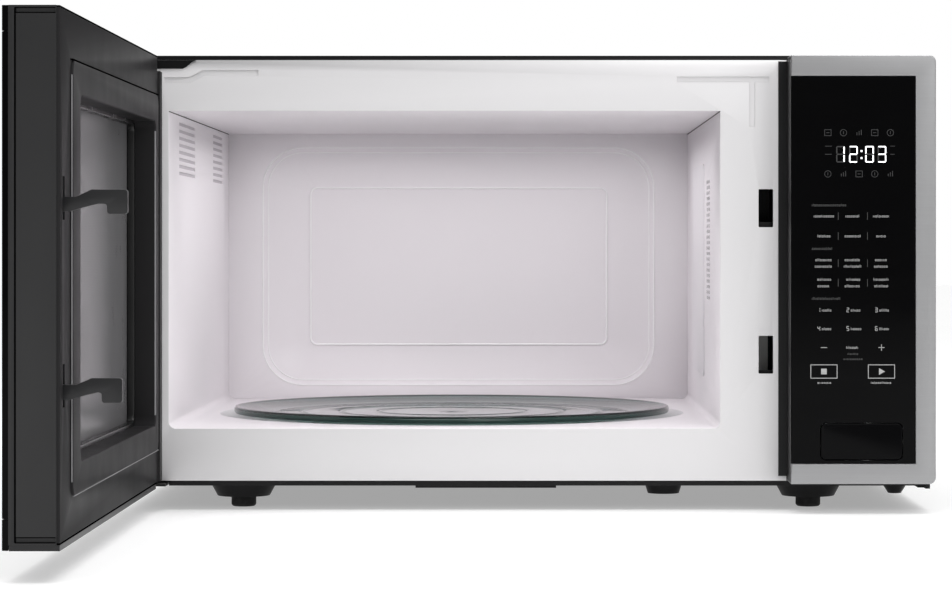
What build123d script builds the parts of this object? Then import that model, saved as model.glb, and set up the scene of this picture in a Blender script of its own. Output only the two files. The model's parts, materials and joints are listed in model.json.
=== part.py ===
"""Countertop microwave oven with its door open: cabinet, oven cavity, turntable, door and electrics.

Millimetres. +X is right, +Y is backwards, +Z is up. The origin is on the floor plane, on the cabinet's
centre line, in the plane of the front face of the white plate round the oven cavity.
"""

import os
from math import cos, radians, sin

from build123d import *

# ---- driving dimensions ----
cabinet_width = 610.0
cabinet_top = 343.0
cabinet_depth = 485.0
sheet = 1.0  # pressed steel
hem = 3.3  # folded front edge of the wrap
pan_bottom = 18.3  # underside of the base pan's middle
pan_margin = 20.8  # underside of its outer margins
plate_bottom = 22.3
plate_top = 339.7

cavity_left = -269.6
cavity_right = 146.7
cavity_floor = 61.5
cavity_ceiling = 301.4
cavity_depth = 465.0
cavity_corner = 5.5

tray_x = -61.5
tray_y = 233.0
tray_radius = 180.0
tray_underside = 58.1
tray_rim = 67.6
recess_floor = 43.5  # sunken middle of the cavity floor
recess_radius = 192.0
roller_radius = 7.0
roller_track = 122.0
lobe_count = 3

front = -37.0  # outer face of the closed door and of the control panel
front_bottom = 22.5
front_top = 341.2
bar = 15.5  # width of the stainless bars of the door and the panel
door_left = -303.4
door_right = 196.0
door_inner = -1.2  # highest point of the closed door's inner face
door_border = -2.8  # its lower border
glass_back = -33.3  # back of the door's front glass
pin_x = -288.7  # hinge pins
pin_y = -16.8
pin_radius = 3.0
panel_left = 197.0
panel_right = 304.5

hook_x = (178.0, 183.0)  # the latch hooks when the door is shut
foot_x = 216.5
front_foot_y = 40.0
rear_foot_y = 430.0
foot_height = 8.3
running = 0.05  # radial clearance of a pin in its bush

half = cabinet_width / 2
cavity_top = cavity_ceiling + sheet
roller_z = recess_floor + 0.3 + roller_radius


# ---- helpers: simple solids added to, or cut from, the part in hand ----
def slab(x, y, z, mode=Mode.ADD):
    """A box between the low and high values of each axis."""
    with Locations(((x[0] + x[1]) / 2, (y[0] + y[1]) / 2, (z[0] + z[1]) / 2)):
        Box(x[1] - x[0], y[1] - y[0], z[1] - z[0], mode=mode)


def rod(start, direction, radius, length, mode=Mode.ADD):
    """A cylinder from a start point along a direction."""
    with Locations(Plane(origin=start, z_dir=direction)):
        Cylinder(radius, length, align=(Align.CENTER, Align.CENTER, Align.MIN), mode=mode)


def facing(x, z, y, radius, mode=Mode.ADD):
    """A rounded plate seen from the front: x and z limits, y from front to back."""
    with BuildSketch(Plane.XZ.offset(-y[0])) as outline:
        with Locations(((x[0] + x[1]) / 2, (z[0] + z[1]) / 2)):
            RectangleRounded(x[1] - x[0], z[1] - z[0], radius)
    extrude(outline.sketch, amount=-(y[1] - y[0]), mode=mode)


def sideways(y, z, x, radius, mode=Mode.ADD):
    """A rounded plate seen from the side: y and z limits, x from left to right."""
    with BuildSketch(Plane.YZ.offset(x[0])) as outline:
        with Locations(((y[0] + y[1]) / 2, (z[0] + z[1]) / 2)):
            RectangleRounded(y[1] - y[0], z[1] - z[0], radius)
    extrude(outline.sketch, amount=x[1] - x[0], mode=mode)


def wider(limits, margin):
    """Low and high limits moved apart by a margin at each end."""
    return (limits[0] - margin, limits[1] + margin)


def cup(centre, low_radius, high_radius, height, mode=Mode.ADD):
    """A cone frustum standing on a point."""
    with Locations(centre):
        Cone(low_radius, high_radius, height, align=(Align.CENTER, Align.CENTER, Align.MIN), mode=mode)


def flare(x, z, y, shrink, radius, mode=Mode.ADD):
    """A rounded block that narrows by shrink on each side from the first y to the second."""
    with BuildSketch(Plane.XZ.offset(-y[0])) as wide:
        with Locations(((x[0] + x[1]) / 2, (z[0] + z[1]) / 2)):
            RectangleRounded(x[1] - x[0], z[1] - z[0], radius[0])
    with BuildSketch(Plane.XZ.offset(-y[1])) as narrow:
        with Locations(((x[0] + x[1]) / 2, (z[0] + z[1]) / 2)):
            RectangleRounded(x[1] - x[0] - 2 * shrink[0], z[1] - z[0] - 2 * shrink[1], radius[1])
    loft([wide.sketch.face(), narrow.sketch.face()], mode=mode)


def coil(start, direction, radius, wire, turns, length):
    """A helical spring standing on a plane at a start point."""
    with BuildLine() as path:
        Helix(pitch=length / turns, height=length, radius=radius, center=start, direction=direction)
    with BuildSketch(Plane(origin=path.line @ 0, z_dir=path.line % 0)) as section:
        Circle(wire / 2)
    sweep(section.sketch, path=path.line)


def screw(seat, direction, head_radius, head_height, shank_radius, shank_length):
    """A pan-head screw: the head stands on its seat and the shank runs back through it."""
    rod(seat, direction, head_radius, head_height)
    rod(seat, tuple(-d for d in direction), shank_radius, shank_length)


# ---- cabinet shell ----
with BuildPart() as outer_wrap:
    with BuildSketch(Plane.XZ) as wrap_outline:
        with Locations((0, (cabinet_top + pan_bottom - 2) / 2)):
            Rectangle(cabinet_width, cabinet_top - pan_bottom + 2)
        fillet(wrap_outline.vertices().group_by(Axis.Y)[-1], 4.0)
    extrude(amount=-cabinet_depth)
    slab((hem - half, half - hem), (-1, 10), (0, cabinet_top - hem), Mode.SUBTRACT)
    slab((sheet - half, half - sheet), (9, cabinet_depth + 1), (0, cabinet_top - sheet), Mode.SUBTRACT)
    for side in (-1, 1):
        flange = sorted((side * (half - 8), side * (half - sheet / 2)))
        slab(flange, (10, cabinet_depth - 4), (pan_bottom - 2, pan_bottom - 1))
        for row in range(9):
            slot = sorted((side * (half - 2), side * (half + 1)))
            slab(slot, (388, 448), (52 + row * 8, 55 + row * 8), Mode.SUBTRACT)

rear_y = (482.0, 483.0)
bulge_x = (-235.0, 112.0)
bulge_z = (76.0, 287.0)
bushing_x = 266.0
bushing_z = 52.0
screw_places = [(x, z) for x in (-296, 0, 296) for z in (36, 332)]
with BuildPart() as rear_panel:
    slab((1.1 - half, half - 1.1), rear_y, (pan_margin + 1.1, cabinet_top - 1.1))
    slab((1.1 - half, 2.1 - half), (472, 482), (pan_margin + 1.1, cabinet_top - 1.1))
    slab((half - 2.1, half - 1.1), (472, 482), (pan_margin + 1.1, cabinet_top - 1.1))
    slab((2.1 - half, half - 2.1), (472, 482), (cabinet_top - 2.1, cabinet_top - 1.1))
    flare(bulge_x, bulge_z, (rear_y[0] + sheet, 496), (12, 12), (26, 14))
    flare(bulge_x, bulge_z, (rear_y[0], 495), (12, 12), (26, 14), Mode.SUBTRACT)
    for row in range(13):
        for column in range(4):
            slot_x = 166 + column * 32
            slab((slot_x, slot_x + 25), (481, 484), (112 + row * 9, 115.5 + row * 9), Mode.SUBTRACT)
    for row in range(8):
        slab((-292, -250), (481, 484), (250 + row * 9, 253.5 + row * 9), Mode.SUBTRACT)
    rod((bushing_x, 481, bushing_z), (0, 1, 0), 9.0, 4, Mode.SUBTRACT)
    for x, z in screw_places:
        rod((x, 481, z), (0, 1, 0), 2.0, 4, Mode.SUBTRACT)

with BuildPart() as rear_screws:
    for x, z in screw_places:
        screw((x, rear_y[1], z), (0, 1, 0), 4.0, 2.2, 1.9, 9.0)


def pressed(x, y, z, lift, mode):
    """A flat-bottomed pressing of the pan; its hollow, lifted by the sheet, stands in from its walls."""
    slab((x[0] + lift, x[1] - lift), (y[0] + lift, y[1] - lift), (z[0] + lift, z[1] + lift), mode)


def pan_pressings(lift, mode):
    """The drawn shapes of the base pan, or with a lift of one sheet the hollows inside them."""
    pressed((-241, 244), (14, 455), (pan_bottom, pan_margin + 0.2), lift, mode)
    pressed((-84, 23), (18, 70), (15.5, pan_bottom + 0.2), lift, mode)
    for y in (front_foot_y, rear_foot_y):
        for x in (-foot_x, foot_x):
            cup((x, y, foot_height + lift), 20, 27, pan_margin - foot_height + 0.2, mode)
    cup((105.5, front_foot_y, 10 + lift), 12, 15.5, pan_margin - 9.8, mode)
    cup((283, front_foot_y, 10 + lift), 5, 12, pan_margin - 9.8, mode)


with BuildPart() as base_pan:
    slab((1.1 - half, half - 1.1), (10.2, 470), (pan_margin, pan_margin + sheet))
    slab((hem + 0.1 - half, half - hem - 0.1), (2, 10.3), (pan_margin, pan_margin + sheet))
    slab((hem + 0.1 - half, half - hem - 0.1), (1.1, 2.1), (pan_bottom + 0.2, 34))
    pan_pressings(0, Mode.ADD)
    pan_pressings(sheet, Mode.SUBTRACT)
    slab((-304, -269.5), (0, 3), (15, pan_margin), Mode.SUBTRACT)
    for y in (front_foot_y, rear_foot_y):
        for x in (-foot_x, foot_x):
            rod((x, y, foot_height - 1), (0, 0, 1), 4.1, 4, Mode.SUBTRACT)
    for row in range(9):
        for column in range(3):
            slot_x = 150 + column * 30
            slab((slot_x, slot_x + 24), (90 + row * 9, 93.5 + row * 9), (15, 25), Mode.SUBTRACT)


def feet(y):
    """A pair of moulded feet: a chamfered pad and a peg that snaps through the pan."""
    for x in (-foot_x, foot_x):
        rod((x, y, 0), (0, 0, 1), 9.5, foot_height)
        rod((x, y, foot_height), (0, 0, 1), 4.0, 5)


with BuildPart() as front_feet:
    feet(front_foot_y)
    chamfer(front_feet.edges().group_by(Axis.Z)[0], 1.4)

with BuildPart() as rear_feet:
    feet(rear_foot_y)
    chamfer(rear_feet.edges().group_by(Axis.Z)[0], 1.4)

with BuildPart() as cord_bushing:
    rod((bushing_x, 483, bushing_z), (0, 1, 0), 12.5, 3)
    rod((bushing_x, 474, bushing_z), (0, 1, 0), 8.95, 9)
    rod((bushing_x, 478, bushing_z), (0, 1, 0), 11.0, 3.9)
    rod((bushing_x, 486, bushing_z), (0, 1, 0), 7.0, 4)
    rod((bushing_x, 470, bushing_z), (0, 1, 0), 4.0, 30, Mode.SUBTRACT)

# ---- front plate and oven cavity ----
latch_hole_x = (175.6, 186.6)
latch_hole_z = ((213.6, 242.3), (103.1, 131.7))


def bead(points, depth, y, mode):
    """A pressed stiffening groove along a line of (x, z) points."""
    with BuildSketch(Plane.XZ.offset(-y)) as groove:
        with BuildLine():
            Polyline(*points)
        trace(line_width=4.3)
    extrude(groove.sketch, amount=-depth, mode=mode)


bead_depth = 1.1
left_bead = [(-273, 324.6), (-253.6, 324.6), (-243.2, 329.9), (-202, 329.9)]
top_bead = [(113.8, 325), (183.4, 325)]
drop_bead = [(170.7, 325), (170.7, 289.4)]
with BuildPart() as cavity_front_plate:
    slab((-301.6, 196.6), (0, sheet), (plate_bottom, plate_top))
    slab((cavity_left, cavity_right), (-1, 2), (cavity_floor, cavity_ceiling), Mode.SUBTRACT)
    lower = cavity_front_plate.edges().filter_by(Axis.Y).group_by(Axis.Z)[1]
    fillet(lower, cavity_corner)
    for points in (left_bead, top_bead, drop_bead):
        bead(points, bead_depth, sheet, Mode.ADD)
    for points in (left_bead, top_bead, drop_bead):
        bead(points, bead_depth, 0, Mode.SUBTRACT)
    for z in latch_hole_z:
        facing(latch_hole_x, z, (-1, 2), 0.8, Mode.SUBTRACT)

duct_y = (235.0, 325.0)
duct_z = (138.0, 206.0)
with BuildPart() as cavity_liner:
    with BuildSketch(Plane.XZ.offset(-sheet)) as liner_section:
        with Locations(((cavity_left + cavity_right) / 2, (cavity_floor - sheet + cavity_ceiling) / 2)):
            Rectangle(cavity_right - cavity_left + 2 * sheet, cavity_ceiling - cavity_floor + sheet)
        fillet(liner_section.vertices().group_by(Axis.Y)[0], cavity_corner + sheet)
    extrude(amount=-(cavity_depth - sheet))
    recess_depth = cavity_floor - recess_floor
    cup((tray_x, tray_y, recess_floor - sheet), recess_radius - 5, recess_radius + 1, recess_depth)
    with BuildSketch(Plane.XZ) as hollow_section:
        with Locations(((cavity_left + cavity_right) / 2, (cavity_floor + cavity_ceiling + 20) / 2)):
            Rectangle(cavity_right - cavity_left, cavity_ceiling - cavity_floor + 20)
        fillet(hollow_section.vertices().group_by(Axis.Y)[0], cavity_corner)
    extrude(amount=-(cavity_depth + 10), mode=Mode.SUBTRACT)
    recess_middle = (tray_x, tray_y, recess_floor)
    cup(recess_middle, recess_radius - 6, recess_radius, recess_depth + 0.01, Mode.SUBTRACT)
    rod((tray_x, tray_y, 40), (0, 0, 1), 6.0, 10, Mode.SUBTRACT)
    for vent_y in ((70, 184), (326, 408)):
        for row in range(8):
            z = 256 + row * 5.5
            slab((cavity_left - 2, cavity_left + 1), vent_y, (z - 1.3, z + 1.3), Mode.SUBTRACT)
    for row in range(22):
        for column in range(7):
            y = 130 + column * 6.4 + (row % 2) * 3.2
            rod((cavity_right - 1, y, 158 + row * 4.43), (1, 0, 0), 1.25, 4, Mode.SUBTRACT)
    slab((cavity_right - 1, cavity_right + 3), duct_y, duct_z, Mode.SUBTRACT)

with BuildPart() as cavity_top_plate:
    slab((cavity_left - sheet, cavity_right + sheet), (sheet, cavity_depth), (cavity_ceiling, cavity_top))

emboss_x = (-238.7, 116.3)
emboss_z = (73.7, 289.1)
step_x = (emboss_x[0] + 4.5, emboss_x[1] - 4.5)
step_z = (emboss_z[0] + 4.5, emboss_z[1] - 4.5)
inner_gap = (38.2, 32.0)  # from the emboss's step to its flat middle, in x and in z


def back_emboss(y, mode):
    """The back wall's pressed field: a step, then a gentle slope to a flat middle."""
    flare(emboss_x, emboss_z, (y, y + 4), (4.5, 4.5), (36, 31.5), mode)
    flare(step_x, step_z, (y + 4, y + 9), inner_gap, (31.5, 6), mode)


with BuildPart() as cavity_back_wall:
    wall_y = (cavity_depth, cavity_depth + sheet)
    slab((cavity_left - sheet, cavity_right + sheet), wall_y, (cavity_floor - sheet, cavity_top))
    back_emboss(cavity_depth + sheet, Mode.ADD)
    back_emboss(cavity_depth, Mode.SUBTRACT)

with BuildPart() as waveguide_cover:
    sideways((203, 359), (93, 267), (cavity_right - 0.8, cavity_right), 6)
    for slot in ((200, 206, 183, 192), (200, 206, 134, 140)):
        slab((cavity_right - 2, cavity_right + 1), slot[:2], slot[2:], Mode.SUBTRACT)

with BuildPart() as waveguide:
    slab((cavity_right + sheet, 188), (215, 345), (122, 222))
    slab((cavity_right, 187), (216, 344), (123, 221), Mode.SUBTRACT)
    rod((186, 280, 172), (1, 0, 0), 16.0, 4, Mode.SUBTRACT)

# ---- turntable drive ----
with BuildPart() as turntable_motor:
    rod((tray_x, tray_y, 24.3), (0, 0, 1), 24.5, 16)
    slab((tray_x - 30, tray_x + 30), (tray_y - 7, tray_y + 7), (40.3, 42.5))
    slab((tray_x + 20, tray_x + 36), (tray_y - 9, tray_y + 9), (26, 36))
    rod((tray_x, tray_y, 34), (0, 0, 1), 3.0 + running, 10, Mode.SUBTRACT)

with BuildPart() as turntable_shaft:
    rod((tray_x, tray_y, 34.2), (0, 0, 1), 3.0, 19)

with BuildPart() as drive_coupler:
    rod((tray_x, tray_y, 43.8), (0, 0, 1), 9.0, 9)
    with BuildSketch(Plane.XY.offset(51.5)):
        with Locations((tray_x, tray_y)):
            Circle(10.5)
            with PolarLocations(18, lobe_count):
                Circle(8.0)
                Rectangle(18, 16, align=(Align.MAX, Align.CENTER))
    extrude(amount=6.2)
    fillet(drive_coupler.edges().group_by(Axis.Z)[-1], 1.0)
    rod((tray_x, tray_y, 43), (0, 0, 1), 3.0, 10.5, Mode.SUBTRACT)

with BuildPart() as roller_ring:
    rod((tray_x, tray_y, roller_z - 2.2), (0, 0, 1), 112.0, 4.4)
    rod((tray_x, tray_y, roller_z - 3), (0, 0, 1), 102.0, 6, Mode.SUBTRACT)
    with Locations((tray_x, tray_y, roller_z)):
        with PolarLocations(0, 3, start_angle=90):
            with Locations(Plane(origin=(111, 0, 0), z_dir=(1, 0, 0))):
                Cylinder(2.0, 18, align=(Align.CENTER, Align.CENTER, Align.MIN))
            with Locations(Plane(origin=(roller_track + 4.5, 0, 0), z_dir=(1, 0, 0))):
                Cylinder(3.2, 2.5, align=(Align.CENTER, Align.CENTER, Align.MIN))


def roller(angle):
    """One wheel of the roller ring, with its axle along the radius at the given angle."""
    direction = (cos(radians(angle)), sin(radians(angle)), 0)
    inner = (
        tray_x + (roller_track - 4) * direction[0],
        tray_y + (roller_track - 4) * direction[1],
        roller_z,
    )
    rod(inner, direction, roller_radius, 8.0)
    rod(inner, direction, 2.0 + running, 8.0, Mode.SUBTRACT)


with BuildPart() as roller_1:
    roller(90)
with BuildPart() as roller_2:
    roller(210)
with BuildPart() as roller_3:
    roller(330)

with BuildPart() as glass_tray:
    with BuildSketch(Plane(origin=(tray_x, tray_y, 0), x_dir=(1, 0, 0), z_dir=(0, -1, 0))):
        with BuildLine():
            Polyline(
                (0, tray_underside + 4.0),
                (0, tray_underside),
                (148, tray_underside),
                (158, 59.6),
                (170, 62.4),
                (178.5, 65.0),
                (tray_radius, 66.4),
                (tray_radius - 1, tray_rim),
                (174.5, 66.6),
                (164, 64.4),
                (152, tray_underside + 4.6),
                (146, tray_underside + 4.0),
                close=True,
            )
        make_face()
    revolve(axis=Axis((tray_x, tray_y, 0), (0, 0, 1)))
    for angle in (60, 180, 300):
        boss = (tray_x + 19 * cos(radians(angle)), tray_y + 19 * sin(radians(angle)), tray_underside)
        rod(boss, (0, 0, -1), 8.0, 3.4)

# ---- electrics bay ----
bay_floor = pan_bottom + sheet
with BuildPart() as magnetron:
    slab((188, 264), (236, 324), (130, 134))
    slab((188, 264), (236, 324), (210, 214))
    slab((188, 192), (236, 324), (130, 214))
    slab((260, 264), (236, 324), (130, 214))
    rod((192, 280, 172), (1, 0, 0), 20.0, 68)
    for fin in range(10):
        x = 198 + fin * 6
        slab((x, x + 1), (240, 320), (134, 210))
    rod((172, 280, 172), (1, 0, 0), 8.0, 17)
    slab((264, 286), (256, 304), (150, 194))

with BuildPart() as hv_transformer:
    slab((150, 242), (252, 332), (bay_floor, bay_floor + 4))
    slab((156, 236), (262, 322), (bay_floor + 4, bay_floor + 68))
    slab((172, 220), (248, 336), (bay_floor + 16, bay_floor + 56))
    for x in (180, 212):
        slab((x - 3, x + 3), (336, 344), (66, 72))

with BuildPart() as hv_capacitor:
    with BuildSketch(Plane.XY.offset(bay_floor)):
        with Locations((169, 398)):
            SlotOverall(90, 34, rotation=90)
    extrude(amount=58)
    fillet(hv_capacitor.edges().group_by(Axis.Z)[-1], 2.0)
    for y in (386, 410):
        slab((166, 172), (y - 3, y + 3), (bay_floor + 58, bay_floor + 66))

with BuildPart() as hv_diode:
    rod((262, 372, 27), (0, 1, 0), 3.2, 14)
    rod((262, 352, 27), (0, 1, 0), 0.8, 20)
    rod((262, 386, 27), (0, 1, 0), 0.8, 12)
    rod((262, 398, pan_margin + sheet), (0, 0, 1), 4.0, 6.5)

fan_x = 226.0
fan_z = 170.0
with BuildPart() as fan_shroud:
    slab((160, 292), (476, 482), (106, 234))
    rod((fan_x, 452, fan_z), (0, 1, 0), 58.0, 24)
    rod((fan_x, 440, fan_z), (0, 1, 0), 55.0, 50, Mode.SUBTRACT)
    for arm in (-1, 1):
        slab(sorted((fan_x + arm * 16, fan_x + arm * 56.5)), (452, 455), (fan_z - 4, fan_z + 4))

with BuildPart() as fan_motor:
    slab((fan_x - 30, fan_x + 30), (424, 436), (fan_z - 26, fan_z + 26))
    rod((fan_x, 436, fan_z), (0, 1, 0), 17.0, 10)
    slab((fan_x - 25, fan_x + 25), (446, 452), (fan_z - 6, fan_z + 6))
    rod((fan_x, 430, fan_z), (0, 1, 0), 2.0 + running, 40, Mode.SUBTRACT)

with BuildPart() as fan_blade:
    rod((fan_x, 456, fan_z), (0, 1, 0), 14.0, 16)
    rod((fan_x, 432, fan_z), (0, 1, 0), 2.0, 24)
    with Locations(Plane(origin=(fan_x, 464, fan_z), x_dir=(1, 0, 0), z_dir=(0, 1, 0))):
        with PolarLocations(31, 5):
            with Locations(Location((0, 0, 0), (28, 0, 0))):
                Box(40, 24, 1.6)

with BuildPart() as air_duct:
    slab((cavity_right + sheet, 266), (112, 213), (142, 262))
    slab((189, 266), (213, 235), (142, 212))
    slab((cavity_right, 264), (114, 211), (144, 260), Mode.SUBTRACT)
    slab((191, 264), (210, 236), (144, 210), Mode.SUBTRACT)

with BuildPart() as lamp_holder:
    slab((cavity_right + sheet, 156), (104, 111), (264, 296))
    slab((156, 180), (92, 111), (266, 292))
    rod((168, 92.5, 279), (0, -1, 0), 10.5, 8)
    rod((168, 80, 279), (0, 1, 0), 8.0, 16, Mode.SUBTRACT)

with BuildPart() as cavity_lamp:
    rod((168, 96, 279), (0, -1, 0), 7.5, 14)
    rod((168, 82, 279), (0, -1, 0), 10.5, 14)
    fillet(cavity_lamp.edges().group_by(Axis.Y)[0], 8.0)

with BuildPart() as thermal_cutouts:
    rod((226, 280, 214), (0, 0, 1), 8.0, 9)
    rod((60, 300, cavity_top), (0, 0, 1), 8.0, 9)
    for x, y, z in ((226, 280, 223), (60, 300, cavity_top + 9)):
        for offset in (-4, 4):
            slab((x + offset - 0.5, x + offset + 0.5), (y - 3, y + 3), (z, z + 8))

with BuildPart() as line_filter_board:
    slab((172, 292), (470, 471.6), (250, 326))
    rod((200, 470, 300), (0, -1, 0), 13.0, 16)
    slab((224, 252), (452, 470), (288, 312))
    rod((270, 470, 300), (0, -1, 0), 4.0, 24)
    for x in (178, 286):
        for z in (256, 320):
            rod((x, 471.6, z), (0, 1, 0), 3.0, 10.4)
    slab((190, 214), (456, 470), (258, 272))

# ---- latch board, release gear and switches ----
arm_top = (232.6, 120.5)
arm_root = ((219.6, 228.3), (107.6, 116.6))
arm_slot = ((214.6, 240.5), (103.0, 128.7))  # the cover's slots round the two arms
barb_bottom = (218.1, 105.9)
hook_reach = (36.6, 33.4)
strike_gap = 0.6
rocker_y = 22.0
rocker_z = 62.0
channel_x = (173.6, 188.6)
board_screw_x = 158.0
board_screw_z = (150.0, 190.0)
with BuildPart() as latch_board:
    slab((165, channel_x[0]), (sheet, 64), (48, 262))
    slab((channel_x[1], 193), (sheet, 64), (48, 262))
    slab((165, 193), (60, 64), (84, 262))
    slab((152, channel_x[0]), (sheet, sheet + 3), (140, 200))
    slab((channel_x[1], 196), (sheet, sheet + 3), (140, 200))
    for z in board_screw_z:
        rod((board_screw_x, 0, z), (0, 1, 0), 1.6, 6, Mode.SUBTRACT)
    for low in barb_bottom:
        slab((channel_x[0] - 1, channel_x[1] + 1), (10, 18), (low - strike_gap - 16, low - strike_gap))
    rod((160, rocker_y, rocker_z), (1, 0, 0), 3.0 + running, 40, Mode.SUBTRACT)

with BuildPart() as latch_board_screws:
    for z in board_screw_z:
        screw((board_screw_x, sheet + 3, z), (0, 1, 0), 3.5, 2.0, 1.6, 3.0)

with BuildPart() as interlock_switches:
    for z in (221, 166, 108):
        slab((193, 203.4), (30, 58), (z - 16, z))
        slab((194.5, 201.9), (58, 64), (z - 12, z - 10))
        slab((194.5, 201.9), (58, 64), (z - 6, z - 4))
        slab((195.5, 200.9), (28, 54), (z, z + 0.8))

with BuildPart() as release_rocker:
    rod((166, rocker_y, rocker_z), (1, 0, 0), 3.0, 92)
    slab((243, 256), (rocker_y - 3, rocker_y + 3), (46, rocker_z))
    slab((176, 186), (rocker_y, rocker_y + 34), (rocker_z - 3, rocker_z + 3))

finger_gap = 3.6  # from the release fingers to the hooks as drawn
with BuildPart() as release_slider:
    slab((176, 186), (44, 50), (rocker_z + 3.3, barb_bottom[0] - finger_gap))
    for low in barb_bottom:
        slab((176, 186), (22, 44), (low - finger_gap - 4, low - finger_gap))

# ---- control panel ----
button_x = (218.9, 279.6)
button_z = (40.6, 67.7)
window_x = (panel_left, 289.3)
window_z = (front_bottom + bar - 0.4, front_top - bar)
with BuildPart() as control_housing:
    slab((panel_left, panel_right - 1.1), (-34, 0), (front_bottom + 1.1, front_top - 1.1))
    fillet(control_housing.edges().filter_by(Axis.Y).group_by(Axis.X)[-1], 4.2)
    inside_z = (front_bottom + 3.1, front_top - 3.1)
    slab((panel_left + 2, panel_right - 3.1), (-32, 1), inside_z, Mode.SUBTRACT)
    slab((190.4, panel_left), (-1.6, 0), (26, 338.6))
    slab((225, 239), (-10.2, -8.2), (front_bottom + 3, 66))
    slab((209, 281), (-35, -30), (84, 318), Mode.SUBTRACT)
    slab(wider(button_x, 2), (-35, -30), wider(button_z, 2), Mode.SUBTRACT)

with BuildPart() as control_bezel:
    with BuildSketch(Plane.XZ.offset(-front)) as bezel_outline:
        with Locations(((panel_left + panel_right) / 2, (front_bottom + front_top) / 2)):
            Rectangle(panel_right - panel_left, front_top - front_bottom)
        fillet(bezel_outline.vertices().group_by(Axis.X)[-1], 5.0)
    extrude(amount=front + 0.4)
    with BuildSketch(Plane.XZ.offset(34)) as bezel_inside:
        with Locations(((panel_left + panel_right) / 2 - 2, (front_bottom + front_top) / 2)):
            Rectangle(panel_right - panel_left + 2, front_top - front_bottom - 2)
        fillet(bezel_inside.vertices().group_by(Axis.X)[-1], 4.0)
    extrude(amount=-36, mode=Mode.SUBTRACT)
    slab((panel_left - 1, window_x[1]), (front - 1, -33), window_z, Mode.SUBTRACT)
    fillet(control_bezel.faces().sort_by(Axis.Y)[0].outer_wire().edges(), 0.8)

with BuildPart() as control_glass:
    slab((panel_left, window_x[1] - 0.2), (front, -34), (window_z[0] + 0.2, window_z[1] - 0.2))
    chamfer(control_glass.faces().sort_by(Axis.Y)[0].edges(), 0.5)
    facing(wider(button_x, 0.5), wider(button_z, 0.5), (-38, -33), 4.5, Mode.SUBTRACT)

with BuildPart() as display_module:
    slab((219, 279), (-34, -28.6), (262, 302))

with BuildPart() as control_board:
    slab((204, 286), (-28.6, -27), (84, 318))
    slab((215, 245), (-27, -15), (200, 240))
    slab((252, 276), (-27, -18), (120, 150))
    rod((225, -27, 140), (0, 1, 0), 7, 14)

with BuildPart() as door_button:
    facing(button_x, button_z, (front, -31), 4.0)
    chamfer(door_button.faces().sort_by(Axis.Y)[0].edges(), 0.6)
    slab((244, 255), (-31, 12), (46.5, 53.5))
    slab((246, 253), (12, rocker_y - 3.6), (46.5, 49))
    rod((232, -31, 54), (0, 1, 0), 2.5, 8)

with BuildPart() as button_spring:
    coil((232, -30.6, 54), (0, 1, 0), 4.2, 0.7, 6, 20)

# ---- hinges ----
with BuildPart() as upper_hinge:
    with BuildSketch(Plane.XZ):
        with BuildLine():
            Polyline(
                (pin_x - 7, 333.2),
                (-259, 333.2),
                (-256, 334.6),
                (-252, 338.2),
                (-249, 339.6),
                (pin_x - 7, 339.6),
                close=True,
            )
        make_face()
    extrude(amount=0.8)
    slab((pin_x - 7, pin_x + 7), (pin_y, -0.8), (333.2, 335.2))
    rod((pin_x, pin_y, 333.2), (0, 0, 1), 7.0, 2.0)
    rod((pin_x, pin_y, 321), (0, 0, 1), pin_radius, 12.2)

with BuildPart() as lower_hinge:
    slab((-301.6, -270), (pin_y, 60), (19.3, pan_margin))
    rod((pin_x, pin_y, 19.3), (0, 0, 1), 7.0, 1.5)
    rod((pin_x, pin_y, 20.8), (0, 0, 1), pin_radius, 13)

# ---- door, drawn shut and swung open when it is written out ----
opening_x = (-255.5, 122.5)
opening_z = (66.9, 291.5)
panel_x = (-272.0, 154.0)
panel_z = (47.6, 311.5)
rim_x = (pin_x - 5.0, -280.0)  # raised rim along the hinge side
door_middle = (door_left + door_right) / 2
door_width = door_right - door_left
door_height = front_top - front_bottom
cover_back = -4.8  # where the shell ends and the inner cover begins
groove_y = -29.2  # a fine groove down the door's free end

with BuildPart() as door_shell:
    with BuildSketch(Plane.XY.offset(front_bottom)) as shell_section:
        with Locations((door_middle, (glass_back + cover_back) / 2)):
            Rectangle(door_width, cover_back - glass_back)
        fillet(shell_section.vertices().group_by(Axis.X)[0].sort_by(Axis.Y)[-1], 12.0)
    extrude(amount=door_height)
    shell_hollow_z = (front_bottom + 14, front_top - 14)
    slab((door_left + 16, door_right - 3.2), (glass_back - 1, 0), shell_hollow_z, Mode.SUBTRACT)
    # room in the upper hinge corner for the hinge's fixed tongue
    slab((door_left - 1, pin_x + 8.2), (pin_y - 8.2, 1), (331, front_top + 1), Mode.SUBTRACT)
    for slot_z in ((front_bottom + 1.5, front_bottom + 4.6), (front_top - 4.6, front_top - 1.5)):
        slab((door_right - 0.9, door_right + 1), (groove_y, cover_back - 0.5), slot_z, Mode.SUBTRACT)
    slab((door_right - 0.9, door_right + 1), (groove_y - 0.4, groove_y + 0.4), (25, 338), Mode.SUBTRACT)
    for start in (20, 320):
        rod((pin_x, pin_y, start), (0, 0, 1), 5.0, 24, Mode.SUBTRACT)

with BuildPart() as hinge_bushes:
    for low, high in ((22.6, 35), (320.6, 330.8)):
        rod((pin_x, pin_y, low), (0, 0, 1), 5.0, high - low)
        rod((pin_x, pin_y, low - 1), (0, 0, 1), pin_radius + running, high - low + 2, Mode.SUBTRACT)

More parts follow.
